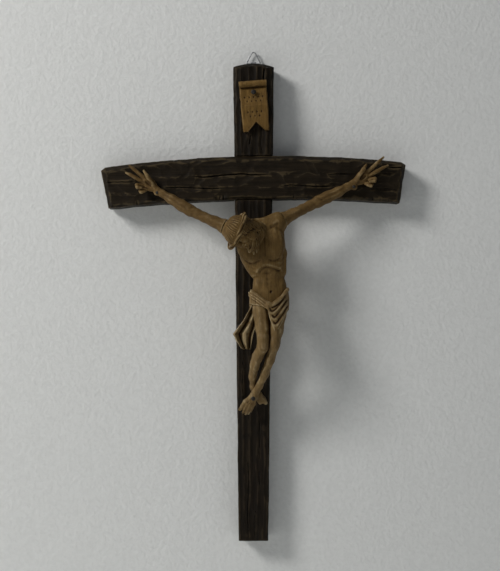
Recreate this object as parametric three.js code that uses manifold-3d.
// Hand-carved wall crucifix: two dark stained beams in a half-lap joint, a pale limewood figure with
// doweled arms, a carved title board, black nails, and a hanging ring that swings in a strap on the back.
//
// Units are millimetres. +X is the viewer's right, +Z is up, and the wall is the plane y = 0, with the
// viewer on the -Y side. The origin is the middle of the crossing, on the back of the upright.
import * as THREE from "three";
import { mergeVertices } from "three/addons/utils/BufferGeometryUtils.js";
import Module from "manifold-3d";

const wasm = await Module();
wasm.setup();

// ---------------------------------------------------------------- driving dimensions

const GAP = 0.3; // between two pieces that touch

const UPRIGHT = {
  top: 112, // height of the arched crest above the crossing
  shoulder: 108.5, // height of the two top corners
  foot: -348,
  topWidth: 40,
  footWidth: 29,
  thickness: 20,
  chamfer: 3.5,
};

const CROSSBEAM = {
  halfSpan: 147,
  top: 22.6, // at the middle
  bottom: -19.6,
  topSagitta: 8.8, // how far the upper edge falls from the middle to the ends
  bottomSagitta: 6.2,
  endSlant: 6.5, // the upper corners reach this much further out than the lower ones
  corner: 4.5, // cut off each upper corner
  thickness: 22.5,
  chamfer: 4,
  tilt: THREE.MathUtils.degToRad(1.1), // the viewer's left end hangs lower
};

const LAP_DEPTH = 10; // what is left of the upright behind the crossbeam

const TITLE = {
  centre: [0.8, 0, 69.5],
  width: 27,
  height: 48.5,
  notch: 8.5, // depth of the swallow tail
  turn: THREE.MathUtils.degToRad(4.5),
};

const RING = {
  wire: 0.65, // radius
  halfWidth: 6.45,
  height: 11.1,
  corner: 1.3, // radius of the two lower bends
  eye: 2.1, // radius of the bend at the top
  pivotY: -1.8,
  pivotZ: 114.6,
};

const STRAP = {
  width: 6,
  sheet: 0.8,
  length: 17,
  play: 0.25, // between the wire and the curl round it
  recessWidth: 9,
  recessDepth: 2.9,
  recessSpare: 1.5, // below the tail
};

const SCREW = {
  head: 3.4, // radii
  shank: 1.7,
  rim: 0.6, // distances from the face of the head
  cone: 2.6,
  sunk: 0.2, // below the back of the cross
  slotWidth: 1,
  slotDepth: 1,
  point: 3,
};

const STRAP_SCREW = { head: 1.8, dome: 0.9, shank: 0.8, length: 9, point: 2, drops: [7.5, 13.5] };

const DOWEL = { radius: 1.8, halfLength: 7 };

const TITLE_SIDE = {
  rollRadius: 3.1,
  rollOut: 4.2, // from the back of the board to the middle of the roll
  grooveOut: 2.6,
  panelOut: 3.6,
  foldOut: 6.6,
  footOut: 4.2,
  grooveDrop: 7.2, // from the top of the board
  panelDrop: 8.6,
};

const FAR = 400; // further than any piece reaches

const FRONT = -UPRIGHT.thickness;
const BEAM_FRONT = -CROSSBEAM.thickness;

// The shoulder joints: a point on each joint's face and the way the arm leaves it.
const SHOULDER_R = { at: [-27, -36, -46.5], along: [-0.9, 0.14, 0.41] };
const SHOULDER_L = { at: [27, -37, -39], along: [0.88, 0.13, 0.45] };

// The head hangs over the figure's right shoulder.
const HEAD = { at: [-14, -58.5, -52.5], crownOfHead: [-0.908, -0.2, 0.368], face: [-0.206, -0.551, -0.808] };
const CROWN = { radius: 16.6, band: 2.3, lift: 1.2 };

// ---------------------------------------------------------------- materials

const stainedWood = new THREE.MeshStandardMaterial({ color: 0x2b2119, roughness: 0.55, metalness: 0 });
const limewood = new THREE.MeshStandardMaterial({ color: 0x8a6e45, roughness: 0.6, metalness: 0 });
const paleLimewood = new THREE.MeshStandardMaterial({ color: 0x96764a, roughness: 0.6, metalness: 0 });
const blackIron = new THREE.MeshStandardMaterial({ color: 0x141312, roughness: 0.45, metalness: 0.7 });
const zincSteel = new THREE.MeshStandardMaterial({ color: 0x8d8f92, roughness: 0.35, metalness: 1 });
const beech = new THREE.MeshStandardMaterial({ color: 0xb08a58, roughness: 0.7, metalness: 0 });

// ---------------------------------------------------------------- solids

const vector = (p) => new THREE.Vector3(...p);

/** A closed three.js geometry as a solid that can be cut and joined. */
function solid(geometry) {
  const bare = geometry.clone();
  for (const name of ["normal", "uv", "color"]) bare.deleteAttribute(name);
  const merged = mergeVertices(bare, 1e-3);
  return new wasm.Manifold(
    new wasm.Mesh({
      numProp: 3,
      vertProperties: new Float32Array(merged.attributes.position.array),
      triVerts: new Uint32Array(merged.index.array),
    }),
  );
}

/** A solid back as a three.js geometry. */
function geometryOf(shape) {
  const mesh = shape.getMesh();
  const position = new Float32Array(mesh.numVert * 3);
  for (let i = 0; i < mesh.numVert; i++) {
    position.set(mesh.vertProperties.subarray(i * mesh.numProp, i * mesh.numProp + 3), i * 3);
  }
  return new THREE.BufferGeometry()
    .setAttribute("position", new THREE.BufferAttribute(position, 3))
    .setIndex(new THREE.BufferAttribute(new Uint32Array(mesh.triVerts), 1));
}

const part = new THREE.Group();

/** Adds one finished piece to the part. */
function piece(name, shape, material) {
  const mesh = new THREE.Mesh(geometryOf(shape), material);
  mesh.name = name;
  part.add(mesh);
  return shape;
}

const joined = (shapes) => shapes.reduce((whole, next) => whole.add(next));
const cutBy = (shape, cutters) => cutters.reduce((left, cutter) => left.subtract(cutter), shape);

/** An outline in the XZ plane, extruded from y = back to y = front (front is the smaller y). */
function slab(outline, back, front) {
  const depth = back - front;
  const geometry = new THREE.ExtrudeGeometry(new THREE.Shape(outline), { depth, bevelEnabled: false });
  return solid(geometry.rotateX(Math.PI / 2).translate(0, back, 0));
}

/** The same, with a chamfer round its front edges only. */
function chamferedSlab(outline, back, front, chamfer) {
  const spare = 2 * chamfer; // runs behind the back face and is cut off with its own chamfer
  const geometry = new THREE.ExtrudeGeometry(new THREE.Shape(outline), {
    depth: back - front + spare - 2 * chamfer,
    bevelThickness: chamfer,
    bevelSize: chamfer,
    bevelOffset: -chamfer,
    bevelSegments: 1,
  });
  const whole = solid(geometry.rotateX(Math.PI / 2).translate(0, back + spare - chamfer, 0));
  return whole.subtract(box([-FAR, back, -FAR], [FAR, back + 2 * spare, FAR]));
}

/** A box between two corners. */
function box(low, high) {
  const size = high.map((v, i) => v - low[i]);
  const middle = high.map((v, i) => (v + low[i]) / 2);
  return solid(new THREE.BoxGeometry(...size).translate(...middle));
}

/** The half space on the far side of a plane, as a large box. */
function beyond(at, along, offset) {
  const geometry = new THREE.BoxGeometry(FAR, FAR, FAR).translate(0, 0, FAR / 2 + offset);
  const turn = new THREE.Quaternion().setFromUnitVectors(new THREE.Vector3(0, 0, 1), vector(along).normalize());
  return solid(geometry.applyQuaternion(turn).translate(...at));
}

/** A turned piece: [radius, distance] pairs along an axis that starts at `at` and runs towards `along`. */
function turned(profile, at, along, sides = 12) {
  const points = profile.map(([radius, distance]) => new THREE.Vector2(radius, distance));
  const turn = new THREE.Quaternion().setFromUnitVectors(new THREE.Vector3(0, 1, 0), vector(along).normalize());
  return solid(new THREE.LatheGeometry(points, sides).applyQuaternion(turn).translate(...at));
}

/**
 * A rounded body along a curve. Each station is [x, y, z, half width, half depth]; depth is measured
 * towards the viewer, width across it. The first and the last station have no size and close the ends.
 */
function limb(stations, sides = 12, steps = 2 * (stations.length - 1)) {
  const centre = new THREE.CatmullRomCurve3(stations.map(([x, y, z]) => new THREE.Vector3(x, y, z)));
  const size = new THREE.CatmullRomCurve3(stations.map(([, , , width, depth]) => new THREE.Vector3(width, depth, 0)));
  const geometry = new THREE.SphereGeometry(1, sides, steps);
  const { position, uv } = geometry.attributes;
  const viewer = new THREE.Vector3(0, -1, 0);
  for (let i = 0; i < position.count; i++) {
    const t = 1 - uv.getY(i);
    const ring = Math.hypot(position.getX(i), position.getZ(i)) || 1;
    const back = centre.getTangent(t).negate();
    const side = new THREE.Vector3().crossVectors(back, viewer).normalize();
    const front = new THREE.Vector3().crossVectors(side, back);
    const { x: width, y: depth } = size.getPoint(t);
    const closed = t === 0 || t === 1 ? 0 : 1;
    const at = centre
      .getPoint(t)
      .addScaledVector(side, (closed * Math.max(width, 0) * position.getX(i)) / ring)
      .addScaledVector(front, (closed * Math.max(depth, 0) * position.getZ(i)) / ring);
    position.setXYZ(i, at.x, at.y, at.z);
  }
  return solid(geometry);
}

/** An ellipsoid with its own axes: up, front and across. */
function ellipsoid(at, up, front, [halfUp, halfFront, halfAcross], sides = 16) {
  const upward = vector(up).normalize();
  const across = new THREE.Vector3().crossVectors(upward, vector(front)).normalize();
  const forward = new THREE.Vector3().crossVectors(across, upward);
  const frame = new THREE.Matrix4().makeBasis(across, upward, forward).setPosition(...at);
  const geometry = new THREE.SphereGeometry(1, sides, Math.round(0.75 * sides));
  return solid(geometry.scale(halfAcross, halfUp, halfFront).applyMatrix4(frame));
}

// ---------------------------------------------------------------- the two beams

/** The upright's face: it narrows towards the foot and its top is a shallow arch. */
function uprightOutline(grow = 0) {
  const { top, shoulder, foot, topWidth, footWidth } = UPRIGHT;
  const outline = new THREE.Shape();
  outline.moveTo(-footWidth / 2 - grow, foot);
  outline.lineTo(footWidth / 2 + grow, foot);
  outline.lineTo(topWidth / 2 + grow, shoulder);
  outline.quadraticCurveTo(0, 2 * top - shoulder, -topWidth / 2 - grow, shoulder);
  return outline.getPoints(10);
}

/** The crossbeam's face: both long edges are arcs, and the ends are cut at a slant. */
function crossbeamOutline(grow = 0) {
  const { halfSpan, top, bottom, topSagitta, bottomSagitta, endSlant, corner, tilt } = CROSSBEAM;
  const steps = 20;
  const edge = (span, height, sagitta) =>
    Array.from({ length: steps + 1 }, (_, i) => {
      const x = span * (1 - (2 * i) / steps);
      return new THREE.Vector2(x, height - sagitta * (x / span) ** 2);
    });
  const upper = edge(halfSpan - corner, top + grow, topSagitta - 0.5);
  const lower = edge(halfSpan - endSlant, bottom - grow, bottomSagitta).reverse();
  const cornerHeight = top - topSagitta - 1.1 * corner;
  const outline = [
    new THREE.Vector2(halfSpan, cornerHeight),
    ...upper,
    new THREE.Vector2(-halfSpan, cornerHeight),
    ...lower,
  ];
  return outline.map((p) => p.rotateAround(new THREE.Vector2(), tilt));
}

const RECESS = {
  low: [-STRAP.recessWidth / 2, -STRAP.recessDepth, RING.pivotZ - STRAP.length - STRAP.recessSpare],
  high: [STRAP.recessWidth / 2, 1, UPRIGHT.top + 5],
};

/** A countersunk wood screw that runs from the back face towards the viewer. */
function woodScrew(x, z, length, grow = 0) {
  const head = SCREW.head + grow;
  const shank = SCREW.shank + grow;
  const profile = [
    [0, 0],
    [head, 0],
    [head, SCREW.rim + grow],
    [shank, SCREW.cone + grow],
    [shank, length - SCREW.point],
    [0, length + grow],
  ];
  return turned(profile, [x, grow - SCREW.sunk, z], [0, -1, 0]);
}

/** The slot across a screw's head. */
function screwSlot(x, z) {
  const reach = SCREW.head + SCREW.sunk;
  const half = SCREW.slotWidth / 2;
  return box([x - reach, -SCREW.sunk - SCREW.slotDepth, z - half], [x + reach, 1, z + half]);
}

const LAP_SCREWS = [
  { name: "lap_screw_upper", x: -9, z: 9 },
  { name: "lap_screw_lower", x: 9, z: -9 },
];
const LAP_SCREW_LENGTH = 16;
const FIGURE_SCREW = { x: 9, z: -112, length: 36 };

for (const { name, x, z } of LAP_SCREWS) {
  piece(name, woodScrew(x, z, LAP_SCREW_LENGTH).subtract(screwSlot(x, z)), zincSteel);
}
const figureScrew = woodScrew(FIGURE_SCREW.x, FIGURE_SCREW.z, FIGURE_SCREW.length);
piece("figure_screw", figureScrew.subtract(screwSlot(FIGURE_SCREW.x, FIGURE_SCREW.z)), zincSteel);
const screwHoles = [
  ...LAP_SCREWS.map(({ x, z }) => woodScrew(x, z, LAP_SCREW_LENGTH, GAP)),
  woodScrew(FIGURE_SCREW.x, FIGURE_SCREW.z, FIGURE_SCREW.length, GAP),
];

// ---------------------------------------------------------------- nails

/** A forged nail with a domed head: `at` is the underside of the head. */
function nail([x, y, z], headRadius, shankRadius, length, along = [0, 1, 0], grow = 0) {
  const profile = [
    [0, -0.55 * headRadius - grow],
    [0.6 * headRadius + grow, -0.42 * headRadius - grow],
    [headRadius + grow, -0.1 * headRadius],
    [headRadius + grow, 0],
    [shankRadius + grow, 0.01 + grow],
    [shankRadius + grow, length - 3],
    [0, length + grow],
  ];
  return turned(profile, [x, y, z], along, 10);
}

const NAILS = {
  title_nail: { at: [0, -26.9, 82.3], head: 2.4, shank: 0.9, length: 15, along: [0, 1, 0] },
  right_hand_nail: { at: [-91.5, -29.4, -13.8], head: 1.7, shank: 0.8, length: 15, along: [0, 1, 0] },
  left_hand_nail: { at: [95.4, -29.4, -8.4], head: 1.7, shank: 0.8, length: 15, along: [0, 1, 0] },
  foot_nail: { at: [-0.3, -38.6, -208.6], head: 2.1, shank: 0.9, length: 27, along: [0, 1, 0] },
};
const nailOf = ({ at, head, shank, length, along }, grow = 0) => nail(at, head, shank, length, along, grow);
for (const [name, size] of Object.entries(NAILS)) piece(name, nailOf(size), blackIron);
const nailHoles = Object.values(NAILS).map((size) => nailOf(size, GAP));

// ---------------------------------------------------------------- hanging ring and strap

/** The ring is one loop of wire: a flat base in the strap and two legs that meet in a round eye. */
function ringPath() {
  const { halfWidth: w, height: h, wire, corner, eye } = RING;
  const points = [
    [0, 0],
    [w - corner, 0],
    [w - 0.2, 0.35],
    [w, corner],
    [w - 0.5, 2.3],
    [eye + 0.9, h - eye - 0.8],
    [0.75 * eye, h - 0.6],
    [0, h],
  ];
  const mirrored = points.slice(1, -1).reverse().map(([x, z]) => [-x, z]);
  const loop = [...points, ...mirrored].map(([x, z]) => new THREE.Vector3(x, 0, z));
  return { curve: new THREE.CatmullRomCurve3(loop, true, "centripetal"), wire };
}
const { curve: ringCurve, wire } = ringPath();
const ringGeometry = new THREE.TubeGeometry(ringCurve, 44, wire, 8, true);
piece("hanging_ring", solid(ringGeometry.translate(0, RING.pivotY, RING.pivotZ)), zincSteel);

/** The strap is a sheet rolled round the base of the ring, with a flat tail in the recess. */
function strapOutline() {
  const { sheet, length } = STRAP;
  const outer = RING.wire + STRAP.play + sheet;
  const outline = new THREE.Shape();
  outline.moveTo(0, -outer);
  outline.absarc(0, 0, outer, -Math.PI / 2, Math.PI, false);
  outline.lineTo(-outer + sheet, -outer - 0.6);
  outline.lineTo(-sheet, -outer - 1.2);
  outline.lineTo(-sheet, -length);
  outline.lineTo(0, -length);
  const eye = new THREE.Path();
  eye.absarc(0, 0, RING.wire + STRAP.play, 0, 2 * Math.PI, true);
  outline.holes.push(eye);
  return outline;
}
const strapGeometry = new THREE.ExtrudeGeometry(strapOutline(), {
  depth: STRAP.width,
  bevelEnabled: false,
  curveSegments: 12,
});
// The outline's x becomes the part's y, and its y becomes z.
strapGeometry.applyMatrix4(
  new THREE.Matrix4().makeBasis(new THREE.Vector3(0, 1, 0), new THREE.Vector3(0, 0, 1), new THREE.Vector3(1, 0, 0)),
);
strapGeometry.translate(-STRAP.width / 2, RING.pivotY, RING.pivotZ);

const STRAP_SCREWS = [
  { name: "strap_screw_upper", z: RING.pivotZ - STRAP_SCREW.drops[0] },
  { name: "strap_screw_lower", z: RING.pivotZ - STRAP_SCREW.drops[1] },
];

/** A small round-headed screw through the strap's tail. */
function strapScrew(z, grow = 0) {
  const { head, dome, shank, length, point } = STRAP_SCREW;
  const profile = [
    [0, -dome - grow],
    [0.61 * head + grow, -0.89 * dome - grow],
    [head + grow, -0.11 * dome],
    [head + grow, 0],
    [shank + grow, 0.01 + grow],
    [shank + grow, length - point],
    [0, length + grow],
  ];
  return turned(profile, [0, RING.pivotY + GAP, z], [0, -1, 0], 10);
}
for (const { name, z } of STRAP_SCREWS) piece(name, strapScrew(z), zincSteel);
const strapScrewHoles = STRAP_SCREWS.map(({ z }) => strapScrew(z, GAP));
piece("hanger_strap", cutBy(solid(strapGeometry), strapScrewHoles), zincSteel);

// ---------------------------------------------------------------- beams, cut and fitted

const lapInUpright = slab(crossbeamOutline(GAP), -LAP_DEPTH, FRONT - 5);
const lapInCrossbeam = slab(uprightOutline(GAP), 5, -LAP_DEPTH - GAP);
const recess = box(RECESS.low, RECESS.high);

const upright = cutBy(chamferedSlab(uprightOutline(), 0, FRONT, UPRIGHT.chamfer), [
  lapInUpright,
  recess,
  ...screwHoles,
  ...nailHoles,
  ...strapScrewHoles,
]);
piece("upright", upright, stainedWood);

const crossbeam = cutBy(chamferedSlab(crossbeamOutline(), 0, BEAM_FRONT, CROSSBEAM.chamfer), [
  lapInCrossbeam,
  ...screwHoles,
  ...nailHoles,
]);
piece("crossbeam", crossbeam, stainedWood);

// ---------------------------------------------------------------- title board

/** The board from the front: a banner with a swallow tail. */
function titleOutline() {
  const { width, height, notch } = TITLE;
  const [half, low, high] = [width / 2, -height / 2, height / 2];
  return [
    [-half - 1, high],
    [half - 1, high],
    [half - 1, high - 8],
    [half, 0],
    [half, low],
    [half - 7, low],
    [0.5, low + notch],
    [-half + 7, low],
    [-half, low],
    [-half, 0],
    [-half - 1, high - 8],
  ].map(([x, z]) => new THREE.Vector2(x, z));
}

/** The board from the side: [y, z] from the back, with a rolled top edge and a fold across the middle. */
function titleProfile() {
  const high = TITLE.height / 2;
  const back = FRONT - GAP;
  const { rollRadius, rollOut, grooveOut, panelOut, foldOut, footOut, grooveDrop, panelDrop } = TITLE_SIDE;
  const rollCentre = [back - rollOut, high - rollRadius];
  const profile = new THREE.Shape();
  profile.moveTo(back, -high);
  profile.lineTo(back, high - 1);
  profile.absarc(rollCentre[0], rollCentre[1], rollRadius, 0.3 * Math.PI, 1.45 * Math.PI, false);
  profile.lineTo(back - grooveOut, high - grooveDrop);
  profile.lineTo(back - panelOut, high - panelDrop);
  profile.lineTo(back - foldOut, 0);
  profile.lineTo(back - footOut, -high);
  const depthwise = new THREE.ExtrudeGeometry(profile, { depth: 60, bevelEnabled: false, curveSegments: 8 });
  depthwise.applyMatrix4(
    new THREE.Matrix4().makeBasis(new THREE.Vector3(0, 1, 0), new THREE.Vector3(0, 0, 1), new THREE.Vector3(1, 0, 0)),
  );
  return solid(depthwise.translate(-30, 0, 0));
}

/** Turns a solid about the viewing direction and moves it, through its geometry. */
function turnedAboutView(shape, angle, [x, y, z]) {
  return solid(geometryOf(shape).rotateY(-angle).translate(x, y, z));
}
const titleBoard = turnedAboutView(
  slab(titleOutline(), 10, FRONT - 30).intersect(titleProfile()),
  TITLE.turn,
  TITLE.centre,
);
piece("title_board", cutBy(titleBoard, nailHoles), paleLimewood);

// ---------------------------------------------------------------- the carved figure

const torso = limb(
  [
    [4, -43, -42.5, 0, 0],
    [2.5, -42.5, -46, 21, 8],
    [1.5, -42, -54, 25, 12],
    [5.5, -43, -67, 22, 14],
    [9.5, -43, -79, 19, 13.5],
    [12.5, -41, -90, 17, 12],
    [14.6, -39, -99, 14.8, 11],
    [14.6, -39.5, -108, 17.5, 13],
    [14.5, -40.5, -118, 18.5, 14.5],
    [14.5, -42, -127, 14, 11],
    [14.5, -43, -133, 0, 0],
  ],
  18,
);

const legR = limb([
  [7, -42, -106, 0, 0],
  [7, -43, -116, 8.6, 11],
  [7.4, -47, -130, 8, 10],
  [9, -53, -145, 6.8, 8],
  [9, -55.5, -156, 6.2, 6.6],
  [4.6, -52, -165, 5.4, 6],
  [1.6, -45, -175, 4.6, 6.2],
  [-0.2, -36, -188, 3.5, 5],
  [0.2, -29, -199, 3.2, 4],
  [3.5, -25.5, -206, 4, 4],
  [8.5, -22.8, -211, 4.8, 2.6],
  [12, -21.6, -214.5, 0, 0],
]);

const legL = limb([
  [22.5, -41, -106, 0, 0],
  [22.8, -42, -116, 9.4, 11],
  [22.2, -47, -130, 8.2, 10],
  [20.6, -52, -145, 6, 8],
  [17.8, -53.5, -158, 5.4, 6.4],
  [13.6, -49, -172, 4.4, 6],
  [9.2, -42.5, -186, 3.8, 5],
  [4.4, -36.8, -198, 3.8, 4.2],
  [0.8, -34.6, -205, 4.6, 4.4],
  [-2.8, -32.8, -212, 6.4, 3.6],
  [-6.6, -29, -220.5, 7, 3],
  [-8.6, -27, -226, 0, 0],
]);

const loincloth = limb(
  [
    [14, -42, -102, 0, 0],
    [14.4, -41, -107.5, 17.8, 14],
    [14.6, -42, -117, 18.4, 15.4],
    [15.6, -44, -128, 15.6, 15.6],
    [17.6, -49, -137, 11, 12],
    [19.5, -53, -144, 0, 0],
  ],
  16,
);

/** The seat of the figure is left flat where it bears on the cross and takes the screw. */
const seat = box([4, -34, -125], [21, FRONT - GAP - 0.01, -103]);

/** The free end of the cloth, which hangs beside the thigh. */
const clothTail = slab(
  [
    [2, -109],
    [-2.5, -122],
    [-10.5, -136],
    [-19.5, -147.5],
    [-16.5, -154],
    [-12, -161],
    [-6.5, -163.5],
    [-3, -160.5],
    [-0.5, -151],
    [3, -140],
    [6, -112],
  ].map(([x, z]) => new THREE.Vector2(x, z)),
  -34,
  -44.5,
);

const headAxes = [HEAD.crownOfHead, HEAD.face];
const head = joined([
  ellipsoid(HEAD.at, ...headAxes, [15.6, 15.4, 14.6]),
  limb(
    [
      [-18, -54, -50, 0, 0],
      [-11, -53.5, -50.5, 9, 12],
      [-3, -50, -52, 9.5, 11],
      [4, -47, -53.5, 9, 9],
      [10, -44, -55, 0, 0],
    ],
    14,
  ),
  limb(
    [
      [-9, -62, -55, 0, 0],
      [-3, -63, -60, 7, 7],
      [1, -62, -66, 5.5, 6.5],
      [2, -57.5, -75, 0, 0],
    ],
    10,
  ),
  limb(
    [
      [-14, -62, -58, 0, 0],
      [-12.5, -63, -66, 7, 8],
      [-12, -60, -73, 4.5, 5.5],
      [-12, -56.5, -78, 0, 0],
    ],
    10,
  ),
]);

/** The crown of thorns is a ring round the brow, square to the head. */
function crownRing(grow = 0) {
  const axis = vector(HEAD.crownOfHead).normalize();
  const turn = new THREE.Quaternion().setFromUnitVectors(new THREE.Vector3(0, 0, 1), axis);
  const centre = vector(HEAD.at).addScaledVector(axis, CROWN.lift);
  const geometry = new THREE.TorusGeometry(CROWN.radius, CROWN.band + grow, 8, 26);
  return solid(geometry.applyQuaternion(turn).translate(centre.x, centre.y, centre.z));
}
piece("crown_of_thorns", crownRing(), limewood);

const armR = limb([
  [-2, -41, -57, 0, 0],
  [-10, -41, -54.5, 9, 9],
  [-20, -40, -50, 7.6, 8],
  [-27, -39, -46.8, 6.4, 6.8],
  [-36, -37, -42.4, 4.8, 5.2],
  [-47, -34.5, -37.6, 4.3, 4.8],
  [-57, -32.5, -32.6, 5.2, 5],
  [-64, -31.5, -29, 5.8, 5.4],
  [-74, -30, -22.6, 5.2, 5],
  [-83, -28, -17, 4.1, 4],
  [-90, -26.8, -12.6, 3.1, 3.2],
  [-95, -26.3, -9, 5.6, 3.6],
  [-101, -26, -4, 7.8, 3.8],
  [-106.5, -26, 0, 6.4, 3.2],
  [-110.5, -26, 2.4, 0, 0],
]);

const armL = limb([
  [4, -42, -54, 0, 0],
  [12, -42, -50.5, 8, 9],
  [20, -41, -45.4, 7.2, 8],
  [27, -40, -40.6, 6, 6.8],
  [36, -38.5, -35.4, 4.8, 5.4],
  [46, -36.5, -30.2, 4.4, 5],
  [57, -34, -25, 4.6, 5],
  [66, -32, -20.4, 5.6, 5.4],
  [76, -30, -15.6, 5.8, 5.2],
  [86, -28, -10.6, 5, 4.2],
  [93, -26.8, -5.4, 3.3, 3.2],
  [98.5, -26.3, -2.4, 5.6, 3.6],
  [104.5, -26, 1.4, 7.8, 3.8],
  [110.5, -26, 5, 6.4, 3.2],
  [114.5, -26, 7.4, 0, 0],
]);

/** A finger from knuckle to tip. */
function finger(from, to, radius) {
  const at = (t) => from.map((v, i) => v + t * (to[i] - v));
  const station = (t, share) => [...at(t), share * radius, share * radius];
  return limb([station(0, 0), station(0.12, 1), station(0.6, 0.95), station(0.92, 0.75), station(1, 0)], 8, 6);
}

const fingersR = joined([
  finger([-102, -26.4, -1.5], [-118.6, -26.8, 11.6], 2.1),
  finger([-104, -26.4, -5], [-121.6, -26.8, 5], 2.1),
  finger([-94, -29, -10], [-104.4, -30, 6.8], 2.4),
  finger([-103, -28.4, -3.5], [-110.5, -30, -12], 2.7),
]);

const fingersL = joined([
  finger([106, -26.4, 3.5], [124, -26.8, 20], 2.1),
  finger([108, -26.4, 0.5], [128, -26.8, 12], 2.1),
  finger([97.5, -29, -3.5], [107.8, -30, 12.8], 2.4),
  finger([107, -28.4, 2.5], [115, -30, -5.5], 2.7),
]);

/** The dowel in each shoulder joint. */
function dowel({ at, along }, grow = 0) {
  const half = DOWEL.halfLength + grow;
  const radius = DOWEL.radius + grow;
  const profile = [
    [0, -half],
    [radius, -half],
    [radius, half],
    [0, half],
  ];
  return turned(profile, at, along, 10);
}
piece("right_arm_dowel", dowel(SHOULDER_R), beech);
piece("left_arm_dowel", dowel(SHOULDER_L), beech);

const beamsAndScrews = [
  slab(uprightOutline(GAP), 1, FRONT - GAP),
  slab(crossbeamOutline(GAP), 1, BEAM_FRONT - GAP),
  ...screwHoles,
  ...nailHoles,
  crownRing(GAP),
];
const figureBlock = joined([torso, armR, armL, legR, legL, loincloth, seat, clothTail, head]);
const figureBody = cutBy(figureBlock, [
  ...beamsAndScrews,
  dowel(SHOULDER_R, GAP),
  dowel(SHOULDER_L, GAP),
  beyond(SHOULDER_R.at, SHOULDER_R.along, -GAP / 2),
  beyond(SHOULDER_L.at, SHOULDER_L.along, -GAP / 2),
]);
piece("figure_body", figureBody, limewood);

/** An arm with its hand, from the shoulder joint's face outwards. */
function arm(shape, fingers, shoulder) {
  const whole = shape.add(fingers).intersect(beyond(shoulder.at, shoulder.along, GAP / 2));
  return cutBy(whole, [...beamsAndScrews, dowel(shoulder, GAP)]);
}
piece("right_arm", arm(armR, fingersR, SHOULDER_R), limewood);
piece("left_arm", arm(armL, fingersL, SHOULDER_L), limewood);

export default part;
